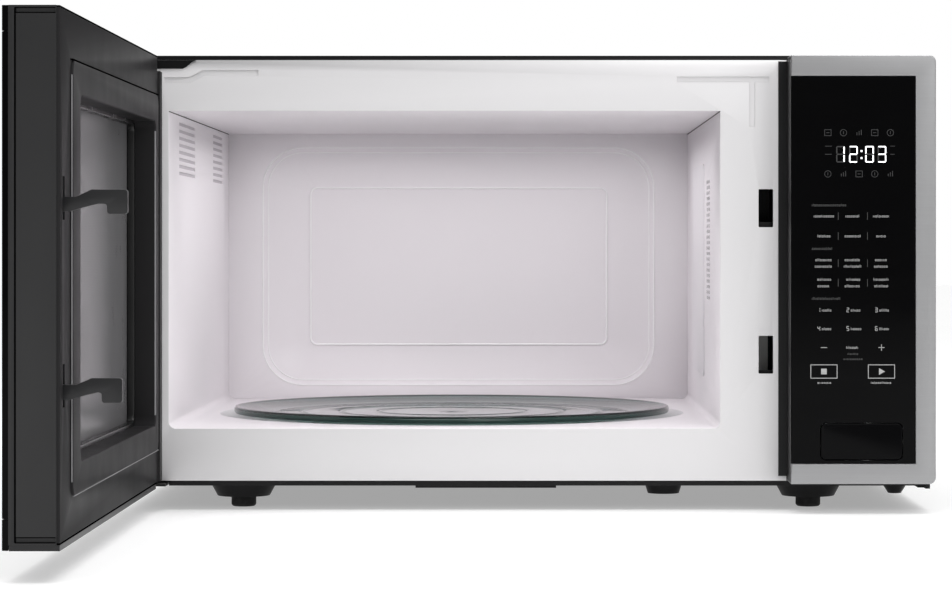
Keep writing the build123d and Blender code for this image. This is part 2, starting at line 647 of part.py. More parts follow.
with BuildPart() as door_inner_cover:
    cover_z = wider((front_bottom, front_top), -1.2)
    slab(wider((door_left, door_right), -0.4), (cover_back, door_border), cover_z)
    facing(panel_x, panel_z, (cover_back, door_inner), 9.0)
    facing(wider(opening_x, 2), wider(opening_z, 2), (-16.7, cover_back), 9.0)
    facing(opening_x, opening_z, (-17, 1), 7.0, Mode.SUBTRACT)
    fillet(door_inner_cover.faces().sort_by(Axis.Y)[-1].edges(), 1.2)
    slab((rim_x[0], rim_x[1]), (cover_back, door_inner), (cover_z[0], 330))
    for slot_z in arm_slot:
        slab((176.6, 184.4), (-6, 0), slot_z, Mode.SUBTRACT)
    slab((door_left - 1, pin_x + 12), (-6, 0), (330, front_top + 1), Mode.SUBTRACT)
    slab((door_left - 1, rim_x[0]), (-6, 0), (0, front_top + 1), Mode.SUBTRACT)

with BuildPart() as door_panel:
    slab((-281, 172), (-25.6, -6), (38, 326))
    slab((-280, 171), (-24.6, -5), (39, 325), Mode.SUBTRACT)
    facing(wider(opening_x, -4), wider(opening_z, -4), (-27, -24), 4.0, Mode.SUBTRACT)

with BuildPart() as door_screen:
    slab((-262, 129), (-26.2, -25.6), (60, 298))

with BuildPart() as inner_window:
    facing(wider(opening_x, 6), wider(opening_z, 6), (-24.6, -22.4), 4.0)

with BuildPart() as window_gasket:
    facing(wider(opening_x, 8), wider(opening_z, 8), (-22.4, -16.7), 6.0)
    facing(wider(opening_x, -3), wider(opening_z, -3), (-23, -16), 5.0, Mode.SUBTRACT)

with BuildPart() as door_glass:
    slab((door_left + 15.7, door_right), (front, glass_back), (front_bottom + bar, front_top - bar))
    chamfer(door_glass.faces().sort_by(Axis.Y)[0].edges(), 0.5)

skirt = 3.3  # the lower stainless bar hangs below the door
with BuildPart() as door_bezel:
    with BuildSketch(Plane.XZ.offset(-front)) as frame_outline:
        with Locations((door_middle, (front_bottom - skirt + front_top) / 2)):
            Rectangle(door_width, door_height + skirt)
        fillet(frame_outline.vertices().group_by(Axis.X)[0], 5.0)
    extrude(amount=front - glass_back)
    glass_z = wider((front_bottom + bar, front_top - bar), 0.2)
    slab((door_left + 15.5, door_right + 1), (front - 1, 0), glass_z, Mode.SUBTRACT)
    fillet(door_bezel.faces().sort_by(Axis.Y)[0].outer_wire().edges(), 0.8)


def hook(root, top, low, reach):
    """A latch hook: an arm that rises from its root and a barb that hangs from its end."""
    tip = door_inner + reach
    with BuildSketch(Plane.YZ.offset(hook_x[0])) as side:
        with BuildLine():
            Polyline(
                (-8.6, root[0]),
                (1, root[0]),
                (9, root[0] + 2.4),
                (18, top - 8.4),
                (tip - 12.2, top - 8.6),
                (tip - 12.0, low),
                (tip, low),
                (tip, top),
                (14, top),
                (5, root[1]),
                (-8.6, root[1]),
                close=True,
            )
        make_face()
        fillet([corner for corner in side.vertices() if corner.Y > 0], 1.7)
    extrude(side.sketch, amount=hook_x[1] - hook_x[0])


with BuildPart() as latch_bar:
    slab((175, 188), (-12.6, -8.6), (92, 246))
    for place in range(2):
        hook(arm_root[place], arm_top[place], barb_bottom[place], hook_reach[place])
    rod((181.5, -10.6, 246), (0, 0, 1), 1.8, 8)

with BuildPart() as latch_spring:
    coil((181.5, -10.6, 247), (0, 0, 1), 3.2, 0.7, 7, 30)

with BuildPart() as latch_guides:
    for z in (84, 278):
        slab((173, 191), (-15, -4.8), (z, z + 4))
    slab((173, 191), (-16, -15), (84, 282))
    slab((173, 174.4), (-15, -4.8), (88, 278))

door_screw_places = [(x, z) for x in (-230, 100) for z in (42.5, 321.5)]
with BuildPart() as door_screws:
    for x, z in door_screw_places:
        screw((x, -30, z), (0, -1, 0), 3.5, 2.0, 1.6, 4.4)

# ---- write every piece: the door's are swung a quarter turn open about the hinge pins ----
door_swing = Pos(pin_x, pin_y) * Rot(0, 0, -90) * Pos(-pin_x, -pin_y)
cabinet_pieces = {
    "outer_wrap": outer_wrap,
    "rear_panel": rear_panel,
    "rear_screws": rear_screws,
    "base_pan": base_pan,
    "front_feet": front_feet,
    "rear_feet": rear_feet,
    "cord_bushing": cord_bushing,
    "cavity_front_plate": cavity_front_plate,
    "cavity_liner": cavity_liner,
    "cavity_top_plate": cavity_top_plate,
    "cavity_back_wall": cavity_back_wall,
    "waveguide_cover": waveguide_cover,
    "waveguide": waveguide,
    "turntable_motor": turntable_motor,
    "turntable_shaft": turntable_shaft,
    "drive_coupler": drive_coupler,
    "roller_ring": roller_ring,
    "roller_1": roller_1,
    "roller_2": roller_2,
    "roller_3": roller_3,
    "glass_tray": glass_tray,
    "magnetron": magnetron,
    "hv_transformer": hv_transformer,
    "hv_capacitor": hv_capacitor,
    "hv_diode": hv_diode,
    "fan_shroud": fan_shroud,
    "fan_motor": fan_motor,
    "fan_blade": fan_blade,
    "air_duct": air_duct,
    "lamp_holder": lamp_holder,
    "cavity_lamp": cavity_lamp,
    "thermal_cutouts": thermal_cutouts,
    "line_filter_board": line_filter_board,
    "latch_board": latch_board,
    "latch_board_screws": latch_board_screws,
    "interlock_switches": interlock_switches,
    "release_rocker": release_rocker,
    "release_slider": release_slider,
    "control_housing": control_housing,
    "control_bezel": control_bezel,
    "control_glass": control_glass,
    "display_module": display_module,
    "control_board": control_board,
    "door_button": door_button,
    "button_spring": button_spring,
    "upper_hinge": upper_hinge,
    "lower_hinge": lower_hinge,
}
door_pieces = {
    "door_shell": door_shell,
    "hinge_bushes": hinge_bushes,
    "door_inner_cover": door_inner_cover,
    "door_panel": door_panel,
    "door_screen": door_screen,
    "inner_window": inner_window,
    "window_gasket": window_gasket,
    "door_glass": door_glass,
    "door_bezel": door_bezel,
    "latch_bar": latch_bar,
    "latch_spring": latch_spring,
    "latch_guides": latch_guides,
    "door_screws": door_screws,
}

os.makedirs("parts", exist_ok=True)
for label, piece in cabinet_pieces.items():
    piece.part.label = label
    export_step(piece.part, f"parts/{label}.step")

for label, piece in door_pieces.items():
    opened = door_swing * piece.part
    opened.label = label
    export_step(opened, f"parts/{label}.step")
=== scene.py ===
"""Countertop microwave oven with its door open, on a pale studio floor.

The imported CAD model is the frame. The visible housings, the door, the panel and the glass turntable are
finished here, in metres, in the CAD's own frame: +X right, +Y back, +Z up, the white plate's face at Y = 0.
"""

import json
import math
import random

import bmesh
import bpy
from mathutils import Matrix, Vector

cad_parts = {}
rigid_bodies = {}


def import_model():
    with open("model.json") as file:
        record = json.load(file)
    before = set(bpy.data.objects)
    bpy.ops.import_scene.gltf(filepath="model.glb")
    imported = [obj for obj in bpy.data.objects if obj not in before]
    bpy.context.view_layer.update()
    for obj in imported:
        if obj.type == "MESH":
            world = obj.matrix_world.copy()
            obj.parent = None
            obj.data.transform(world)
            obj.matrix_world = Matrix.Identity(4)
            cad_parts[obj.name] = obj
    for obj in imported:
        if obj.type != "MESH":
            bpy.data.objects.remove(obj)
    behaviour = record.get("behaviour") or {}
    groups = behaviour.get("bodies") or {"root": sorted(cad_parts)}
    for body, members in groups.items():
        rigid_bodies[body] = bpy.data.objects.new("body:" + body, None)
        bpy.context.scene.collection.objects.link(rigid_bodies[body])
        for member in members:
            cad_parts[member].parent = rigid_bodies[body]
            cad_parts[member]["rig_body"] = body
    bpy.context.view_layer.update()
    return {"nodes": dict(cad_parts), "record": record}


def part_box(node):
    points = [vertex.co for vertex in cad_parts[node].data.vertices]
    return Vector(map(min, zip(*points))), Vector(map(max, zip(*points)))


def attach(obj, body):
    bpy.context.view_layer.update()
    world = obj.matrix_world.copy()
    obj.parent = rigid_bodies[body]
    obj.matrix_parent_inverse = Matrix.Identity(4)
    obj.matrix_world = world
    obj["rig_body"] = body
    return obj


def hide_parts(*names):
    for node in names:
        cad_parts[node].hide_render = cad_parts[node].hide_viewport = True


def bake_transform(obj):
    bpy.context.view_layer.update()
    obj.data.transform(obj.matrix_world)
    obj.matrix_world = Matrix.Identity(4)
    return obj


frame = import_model()
MM = 0.001


# ---------------------------------------------------------------- node helpers
def new_material(name):
    """An empty material with its Principled shader and the object's own coordinates."""
    mat = bpy.data.materials.new(name)
    mat.use_nodes = True
    tree = mat.node_tree
    shader = tree.nodes["Principled BSDF"]
    coords = tree.nodes.new("ShaderNodeTexCoord").outputs["Object"]
    return mat, tree, shader, coords


def scaled(tree, coords, scale):
    """The coordinates scaled along each axis."""
    mapping = tree.nodes.new("ShaderNodeMapping")
    mapping.inputs["Scale"].default_value = scale
    tree.links.new(coords, mapping.inputs["Vector"])
    return mapping.outputs["Vector"]


def noise(tree, coords, scale, detail=3.0, roughness=0.5):
    """A noise pattern between 0 and 1."""
    node = tree.nodes.new("ShaderNodeTexNoise")
    node.inputs["Scale"].default_value = scale
    node.inputs["Detail"].default_value = detail
    node.inputs["Roughness"].default_value = roughness
    tree.links.new(coords, node.inputs["Vector"])
    return node.outputs["Fac"]


def remap(tree, value, low, high, from_low=0.3, from_high=0.7):
    """A pattern's values stretched to a new range."""
    node = tree.nodes.new("ShaderNodeMapRange")
    node.inputs["From Min"].default_value = from_low
    node.inputs["From Max"].default_value = from_high
    node.inputs["To Min"].default_value = low
    node.inputs["To Max"].default_value = high
    tree.links.new(value, node.inputs["Value"])
    return node.outputs["Result"]


def blend_colours(tree, factor, first, second):
    """A mix of two colours, each a tuple or an output."""
    node = tree.nodes.new("ShaderNodeMix")
    node.data_type = "RGBA"
    tree.links.new(factor, node.inputs["Factor"])
    for socket, colour in ((node.inputs[6], first), (node.inputs[7], second)):
        if isinstance(colour, tuple):
            socket.default_value = (*colour, 1.0)
        else:
            tree.links.new(colour, socket)
    return node.outputs[2]


def bump(tree, height, distance, strength=1.0, normal=None):
    """A bump from a height pattern; distance is the height's full size in metres."""
    node = tree.nodes.new("ShaderNodeBump")
    node.inputs["Strength"].default_value = strength
    node.inputs["Distance"].default_value = distance
    tree.links.new(height, node.inputs["Height"])
    if normal is not None:
        tree.links.new(normal, node.inputs["Normal"])
    return node.outputs["Normal"]


def tint(colour, factor):
    """A colour made lighter or darker."""
    return tuple(min(1.0, c * factor) for c in colour)


# ---------------------------------------------------------------- materials
def moulded(name, colour, roughness=0.45, grain=0.00006, grain_size=900.0, spread=0.12, gloss=0.5):
    """Injection-moulded plastic: fine grain, slight colour drift and handling marks."""
    mat, tree, shader, coords = new_material(name)
    drift = remap(tree, noise(tree, coords, 9.0, 2.0), 0.0, 1.0)
    base = blend_colours(tree, drift, tint(colour, 1 - spread), tint(colour, 1 + spread))
    tree.links.new(base, shader.inputs["Base Color"])
    marks = remap(tree, noise(tree, coords, 30.0, 3.0, 0.5), roughness - 0.02, roughness + 0.03)
    tree.links.new(marks, shader.inputs["Roughness"])
    fine = noise(tree, coords, grain_size, 2.0, 0.6)
    tree.links.new(bump(tree, fine, grain), shader.inputs["Normal"])
    shader.inputs["Specular IOR Level"].default_value = gloss
    return mat


def enamel(name, colour, roughness=0.32):
    """Baked enamel on steel sheet: a faint orange peel, slight staining and soft gloss."""
    mat, tree, shader, coords = new_material(name)
    stain = noise(tree, coords, 3.0, 1.0)
    base = blend_colours(tree, stain, tint(colour, 0.985), tint(colour, 1.01))
    tree.links.new(base, shader.inputs["Base Color"])
    wiped = remap(tree, noise(tree, coords, 11.0, 2.0), roughness - 0.04, roughness + 0.04, 0.1, 0.9)
    tree.links.new(wiped, shader.inputs["Roughness"])
    peel = noise(tree, coords, 420.0, 1.0, 0.5)
    tree.links.new(bump(tree, peel, 0.00001), shader.inputs["Normal"])
    return mat


def painted(name, colour, roughness=0.42, gloss=0.5):
    """Powder-coated sheet: a pebbled film, a little lighter where it is worn."""
    mat, tree, shader, coords = new_material(name)
    wear = remap(tree, noise(tree, coords, 28.0, 6.0, 0.7), 0.0, 1.0, 0.55, 0.8)
    base = blend_colours(tree, wear, colour, tint(colour, 1.25))
    tree.links.new(base, shader.inputs["Base Color"])
    rough = remap(tree, noise(tree, coords, 90.0, 4.0), roughness - 0.03, roughness + 0.03)
    tree.links.new(rough, shader.inputs["Roughness"])
    pebbles = noise(tree, coords, 650.0, 2.0, 0.55)
    tree.links.new(bump(tree, pebbles, 0.00009), shader.inputs["Normal"])
    shader.inputs["Specular IOR Level"].default_value = gloss
    return mat


def brushed(name, colour, along, roughness=0.3):
    """Brushed stainless steel: long fine scratches along one axis, with a broken sheen."""
    mat, tree, shader, coords = new_material(name)
    stretch = [2600.0, 2600.0, 2600.0]
    stretch[along] = 14.0
    streaks = noise(tree, scaled(tree, coords, stretch), 1.0, 4.0, 0.7)
    broad = noise(tree, scaled(tree, coords, [s / 12 for s in stretch]), 1.0, 3.0)
    tone = blend_colours(tree, remap(tree, streaks, 0.0, 1.0), tint(colour, 0.95), tint(colour, 1.04))
    cloud = blend_colours(tree, remap(tree, broad, 0.0, 0.3), tone, tint(colour, 0.95))
    tree.links.new(cloud, shader.inputs["Base Color"])
    tree.links.new(remap(tree, streaks, roughness - 0.03, roughness + 0.05), shader.inputs["Roughness"])
    tree.links.new(bump(tree, streaks, 0.000004), shader.inputs["Normal"])
    shader.inputs["Metallic"].default_value = 1.0
    return mat


def plated(name, colour, roughness=0.38):
    """Zinc-plated or mill-finish metal: spangle, dull patches and fine scratches."""
    mat, tree, shader, coords = new_material(name)
    cells = tree.nodes.new("ShaderNodeTexVoronoi")
    cells.inputs["Scale"].default_value = 160.0
    tree.links.new(coords, cells.inputs["Vector"])
    spangle = blend_colours(tree, cells.outputs["Distance"], tint(colour, 0.85), tint(colour, 1.1))
    dull = remap(tree, noise(tree, coords, 20.0, 5.0), 0.0, 0.6)
    tree.links.new(blend_colours(tree, dull, spangle, tint(colour, 0.75)), shader.inputs["Base Color"])
    scratch = noise(tree, scaled(tree, coords, (40.0, 600.0, 300.0)), 1.0, 4.0)
    tree.links.new(remap(tree, scratch, roughness - 0.1, roughness + 0.15), shader.inputs["Roughness"])
    tree.links.new(bump(tree, scratch, 0.00003), shader.inputs["Normal"])
    shader.inputs["Metallic"].default_value = 1.0
    return mat


def black_glass(name, colour=(0.0025, 0.0025, 0.0027), roughness=0.05):
    """Black-backed glass: near mirror gloss with faint wiping smears."""
    mat, tree, shader, coords = new_material(name)
    smear = noise(tree, scaled(tree, coords, (18.0, 18.0, 45.0)), 1.0, 5.0, 0.6)
    tree.links.new(remap(tree, smear, roughness, roughness + 0.08), shader.inputs["Roughness"])
    dust = remap(tree, noise(tree, coords, 240.0, 6.0, 0.8), 0.0, 1.0, 0.6, 0.9)
    tree.links.new(blend_colours(tree, dust, colour, tint(colour, 1.6)), shader.inputs["Base Color"])
    ripple = noise(tree, coords, 9.0, 1.0)
    tree.links.new(bump(tree, ripple, 0.00005), shader.inputs["Normal"])
    shader.inputs["Specular IOR Level"].default_value = 0.05
    return mat


def smoked_film(name):
    """The door's inner window: smoked, with a soft gloss and the screen's fine holes faintly showing; its
    grey is lighter than a smoked film's own, a painted reflection of the room.
    """
    mat, tree, shader, coords = new_material(name)
    dots = tree.nodes.new("ShaderNodeTexVoronoi")
    dots.inputs["Scale"].default_value = 900.0
    dots.inputs["Randomness"].default_value = 0.0
    tree.links.new(coords, dots.inputs["Vector"])
    holes = remap(tree, dots.outputs["Distance"], 1.0, 0.0, 0.3, 0.5)
    # the film's smoked tint made lighter: painted reflection of the room
    base = blend_colours(tree, holes, (0.145, 0.143, 0.147), (0.135, 0.133, 0.137))
    tree.links.new(base, shader.inputs["Base Color"])
    smear = noise(tree, scaled(tree, coords, (12.0, 30.0, 30.0)), 1.0, 5.0, 0.6)
    tree.links.new(remap(tree, smear, 0.16, 0.22), shader.inputs["Roughness"])
    tree.links.new(bump(tree, noise(tree, coords, 14.0, 2.0), 0.00002), shader.inputs["Normal"])
    shader.inputs["Specular IOR Level"].default_value = 0.05
    return mat


def green_glass(name):
    """Pressed soda-lime glass: clear with a green edge, slightly wavy from the mould."""
    mat, tree, shader, coords = new_material(name)
    shader.inputs["Transmission Weight"].default_value = 1.0
    shader.inputs["IOR"].default_value = 1.5
    tone = remap(tree, noise(tree, coords, 12.0, 2.0), 0.0, 1.0)
    base = blend_colours(tree, tone, (0.12, 0.24, 0.21), (0.15, 0.28, 0.25))
    tree.links.new(base, shader.inputs["Base Color"])
    smear = noise(tree, scaled(tree, coords, (30.0, 30.0, 30.0)), 1.0, 4.0)
    tree.links.new(remap(tree, smear, 0.0, 0.07), shader.inputs["Roughness"])
    tree.links.new(bump(tree, noise(tree, coords, 60.0, 2.0), 0.0001), shader.inputs["Normal"])
    return mat


def clear_glass(name):
    """A lamp bulb's thin clear glass, a little blackened inside."""
    mat, tree, shader, coords = new_material(name)
    shader.inputs["Transmission Weight"].default_value = 1.0
    haze = remap(tree, noise(tree, coords, 70.0, 3.0), 0.0, 1.0)
    base = blend_colours(tree, haze, (0.95, 0.95, 0.92), (0.8, 0.79, 0.75))
    tree.links.new(base, shader.inputs["Base Color"])
    tree.links.new(remap(tree, haze, 0.02, 0.12), shader.inputs["Roughness"])
    return mat


def rubbery(name, colour):
    """Moulded rubber: matt with a dusty bloom and a soft pebble."""
    mat, tree, shader, coords = new_material(name)
    bloom = remap(tree, noise(tree, coords, 120.0, 5.0, 0.7), 0.0, 1.0)
    tree.links.new(blend_colours(tree, bloom, colour, tint(colour, 2.2)), shader.inputs["Base Color"])
    tree.links.new(remap(tree, bloom, 0.65, 0.85), shader.inputs["Roughness"])
    tree.links.new(bump(tree, noise(tree, coords, 1100.0, 2.0), 0.0001), shader.inputs["Normal"])
    return mat


def laminate(name):
    """Circuit board: green mask over a copper pattern."""
    mat, tree, shader, coords = new_material(name)
    bricks = tree.nodes.new("ShaderNodeTexBrick")
    bricks.inputs["Scale"].default_value = 90.0
    bricks.inputs["Color1"].default_value = (0.02, 0.16, 0.06, 1.0)
    bricks.inputs["Color2"].default_value = (0.03, 0.2, 0.08, 1.0)
    bricks.inputs["Mortar"].default_value = (0.12, 0.3, 0.12, 1.0)
    tree.links.new(coords, bricks.inputs["Vector"])
    tree.links.new(bricks.outputs["Color"], shader.inputs["Base Color"])
    tree.links.new(remap(tree, noise(tree, coords, 80.0), 0.25, 0.45), shader.inputs["Roughness"])
    tree.links.new(bump(tree, bricks.outputs["Fac"], 0.00005), shader.inputs["Normal"])
    return mat


def printed(name, colour, glow=0.0):
    """Ink or lit segments behind the panel's glass, a little uneven; the glow given to ink and unlit
    segments is painted light, only the lit clock is a lamp.
    """
    mat, tree, shader, coords = new_material(name)
    uneven = remap(tree, noise(tree, coords, 300.0, 3.0), 0.0, 1.0)
    ink = blend_colours(tree, uneven, tint(colour, 0.9), tint(colour, 1.05))
    tree.links.new(ink, shader.inputs["Base Color"])
    tree.links.new(remap(tree, uneven, 0.35, 0.5), shader.inputs["Roughness"])
    tree.links.new(ink, shader.inputs["Emission Color"])
    shader.inputs["Emission Strength"].default_value = glow
    return mat


def make_materials():
    """One finish for each material slot of the record, and those of the parts modelled here."""
    finishes = [
        painted("black_case", (0.006, 0.006, 0.0065), gloss=0.2),
        plated("galvanised_steel", (0.6, 0.61, 0.62)),
        plated("screw_steel", (0.55, 0.55, 0.54), 0.25),
        rubbery("foot_rubber", (0.004, 0.004, 0.004)),
        moulded("black_plastic", (0.008, 0.008, 0.0085), 0.4, gloss=0.3),
        enamel("white_enamel", (0.77, 0.76, 0.77)),
        enamel("cavity_enamel", (0.86, 0.832, 0.855)),
        # a lighter, glossier copy of the cavity's enamel: painted highlight for the pressing's rolled edges
        enamel("enamel_painted_highlight", (0.96, 0.95, 0.96), 0.16),
        moulded("cover_plastic", (0.84, 0.82, 0.845), 0.4, 0.00003, spread=0.02),
        moulded("white_plastic", (0.8, 0.8, 0.78), 0.4, spread=0.03),
        green_glass("tray_glass"),
        moulded("rim_green", (0.012, 0.042, 0.034), 0.16, 0.000002, spread=0.08, gloss=0.45),
        plated("fin_aluminium", (0.78, 0.79, 0.8), 0.3),
        painted("transformer_steel", (0.12, 0.11, 0.1), 0.5),
        clear_glass("lamp_glass"),
        laminate("circuit_board"),
        brushed("stainless", (0.37, 0.37, 0.376), 0, 0.36),
        black_glass("black_glass"),
        black_glass("button_plastic", (0.003, 0.003, 0.0033), 0.1),
        plated("spring_steel", (0.6, 0.6, 0.6), 0.25),
        painted("hinge_steel", (0.004, 0.004, 0.0042), 0.35, 0.2),
        moulded("door_plastic", (0.02, 0.02, 0.0207), 0.42, 0.00004, spread=0.04, gloss=0.3),
        moulded("cover_grey", (0.024, 0.0235, 0.0243), 0.32, 0.000002, spread=0.03, gloss=0.008),
        smoked_film("window_film"),
        moulded("gasket_rubber", (0.014, 0.014, 0.014), 0.25, 0.00001, gloss=0.3),
        enamel("vent_shade", (0.55, 0.52, 0.55), 0.6),
        # dark grey for painted shade in the cavity's ceiling gaps and lamp holes
        moulded("seam_shade", (0.06, 0.055, 0.06), 0.7, gloss=0.1),
        moulded("latch_plastic", (0.019, 0.019, 0.02), 0.35, 0.00002, spread=0.05, gloss=0.3),
        # a light grey standing in for the shine on the door cover's edges: painted highlight
        moulded("painted_edge_highlight", (0.3, 0.295, 0.305), 0.3, 0.000002, spread=0.03, gloss=0.3),
        # near-black for thin lines of painted shade and shadow on the door
        moulded("painted_shade_black", (0.002, 0.002, 0.002), 0.9, 0.000002, spread=0.03, gloss=0.0),
    ]
    # Blender adds a number where a CAD material already has the name
    return {finish.name.split(".")[0]: finish for finish in finishes}


CAVITY_SHEETS = ("cavity_liner", "cavity_top_plate", "cavity_back_wall")


def dress_cad_nodes(materials):
    """Every CAD node takes its own slot's finish."""
    for part in frame["record"]["subparts"]:
        obj = frame["nodes"][part["node"]]
        obj.data.materials.clear()
        finish = "cavity_enamel" if part["node"] in CAVITY_SHEETS else part["material_slot"]
        obj.data.materials.append(materials[finish])


# ---------------------------------------------------------------- mesh helpers
def piece_from(name, verts, faces, material, body, smooth=False):
    """A mesh piece in the row frame, riding on a body."""
    mesh = bpy.data.meshes.new(name)
    mesh.from_pydata(verts, [], faces)
    mesh.update()
    mesh.materials.append(material)
    obj = bpy.data.objects.new(name, mesh)
    bpy.context.scene.collection.objects.link(obj)
    for polygon in mesh.polygons:
        polygon.use_smooth = smooth
    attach(obj, body)
    return obj


def rounded_copy(node, name, width, segments=3):
    """The CAD node's own shape with small rounded edges, standing for that node."""
    source = frame["nodes"][node]
    mesh = source.data.copy()
    mesh.name = name
    obj = bpy.data.objects.new(name, mesh)
    bpy.context.scene.collection.objects.link(obj)
    shape = bmesh.new()
    shape.from_mesh(mesh)
    bmesh.ops.remove_doubles(shape, verts=shape.verts, dist=1e-6)
    bmesh.ops.dissolve_limit(
        shape,
        angle_limit=math.radians(1.0),
        verts=shape.verts,
        edges=shape.edges,
        use_dissolve_boundaries=False,
    )
    shape.to_mesh(mesh)
    shape.free()
    for polygon in mesh.polygons:
        polygon.use_smooth = True
    bevel = obj.modifiers.new("edge", "BEVEL")
    bevel.width = width
    bevel.segments = segments
    bevel.limit_method = "ANGLE"
    bevel.angle_limit = math.radians(38)
    bevel.harden_normals = True
    bevel.use_clamp_overlap = True
    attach(obj, source["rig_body"])
    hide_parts(node)
    return obj


def turned(name, profile, centre, steps, material, body):
    """A piece of revolution about the vertical through a centre: profile is (radius, z) points, closed."""
    verts = []
    faces = []
    for step in range(steps):
        angle = 2 * math.pi * step / steps
        for radius, z in profile:
            verts.append((centre[0] + radius * math.cos(angle), centre[1] + radius * math.sin(angle), z))
    count = len(profile)
    for step in range(steps):
        here, there = step * count, (step + 1) % steps * count
        for k in range(count):
            after = (k + 1) % count
            faces.append((here + k, there + k, there + after, here + after))
    return piece_from(name, verts, faces, material, body, True)


# ---------------------------------------------------------------- glass tray
def smooth_outline(points, rounds=2):
    """A closed outline with its corners cut twice, so that it turns softly."""
    for _ in range(rounds):
        cut = []
        for here, there in zip(points, points[1:] + points[:1]):
            for share in (0.25, 0.75):
                cut.append(tuple(a + (b - a) * share for a, b in zip(here, there)))
        points = cut
    return points


TRAY_STEPS = 144  # facets round the tray
PLATE_UNDER = 3.4 * MM  # height of the plate's underside over the bosses' feet
PLATE_THICK = 4.0 * MM
RING_HIGH = 0.7 * MM  # height of the pressed rings
RING_RADII = (0.124, 0.092, 0.060)
RIM_HIGH = 5.6 * MM  # height of the rim's upright wall
BOSS_CIRCLE = 0.019  # distance of the drive bosses from the middle


def tray_outline(radius, under, rim):
    """Half of the plate's section: (radius, height) points round the underside, the rim and the top."""
    top = under + PLATE_THICK
    ring = RING_HIGH
    shoulder = rim - RIM_HIGH
    outline = [(0.0008, under), (0.100, under), (0.1006, under + ring)]
    outline += [(0.108, under + ring), (0.1086, under), (0.144, under)]
    outline += [(0.150, under + 0.2 * MM), (0.158, under + 1.5 * MM)]
    outline += [(0.170, shoulder - 1.2 * MM), (radius - 0.9 * MM, shoulder)]
    outline += [(radius, rim - 1.3 * MM), (radius - 0.7 * MM, rim), (radius - 3.0 * MM, rim - 0.1 * MM)]
    outline += [(radius - 6.0 * MM, rim - 1.3 * MM), (0.164, rim - 3.2 * MM)]
    outline += [(0.153, top + 0.7 * MM), (0.147, top + 0.1 * MM), (0.140, top)]
    for middle in RING_RADII:
        outline += [(middle + 2.4 * MM, top), (middle + 0.8 * MM, top + ring)]
        outline += [(middle - 0.8 * MM, top + ring), (middle - 2.4 * MM, top)]
    outline += [(0.030, top), (0.0008, top)]
    return smooth_outline(outline)


def make_tray(materials):
    """The glass turntable: a dished plate with pressed rings, a rolled rim and three drive bosses."""
    low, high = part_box("glass_tray")
    centre = ((low.x + high.x) / 2, (low.y + high.y) / 2)
    radius = (high.x - low.x) / 2
    under = low.z + PLATE_UNDER
    rim = high.z
    shoulder = rim - RIM_HIGH
    clear, green = materials["tray_glass"], materials["rim_green"]

    def part(name, outline, middle, steps, material):
        return turned(name, outline, middle, steps, material, "tray")

    plate = part("turntable_glass", tray_outline(radius, under, rim), centre, TRAY_STEPS, clear)
    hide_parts("glass_tray")
    wall = [(radius - 2.2 * MM, shoulder + 0.4 * MM), (radius - 0.8 * MM, shoulder + 0.2 * MM)]
    wall += [(radius, shoulder + 1.4 * MM), (radius, rim - 1.5 * MM), (radius - 1.6 * MM, rim - 1.9 * MM)]
    part("turntable_rim_wall", wall, centre, TRAY_STEPS, green)
    foot = [(0.146, under + 0.5 * MM), (0.147, under - 0.05 * MM)]
    foot += [(0.1535, under + 0.7 * MM), (0.152, under + 1.2 * MM)]
    part("turntable_foot_edge", foot, centre, TRAY_STEPS, green)
    boss = [(0.0005, low.z), (0.0066, low.z), (0.0078, low.z + 1.2 * MM), (0.008, under), (0.0005, under)]
    for k in range(3):
        angle = math.radians(60 + 120 * k)
        middle = (centre[0] + BOSS_CIRCLE * math.cos(angle), centre[1] + BOSS_CIRCLE * math.sin(angle))
        part(f"tray_drive_boss_{k + 1}", boss, middle, 32, clear)


# ---------------------------------------------------------------- control panel graphics
STROKES = ("round", "short", "round", "round", "tall")  # what a label's strokes are drawn from
SHORT_SHARE = 0.72  # a short stroke's share of the label's height


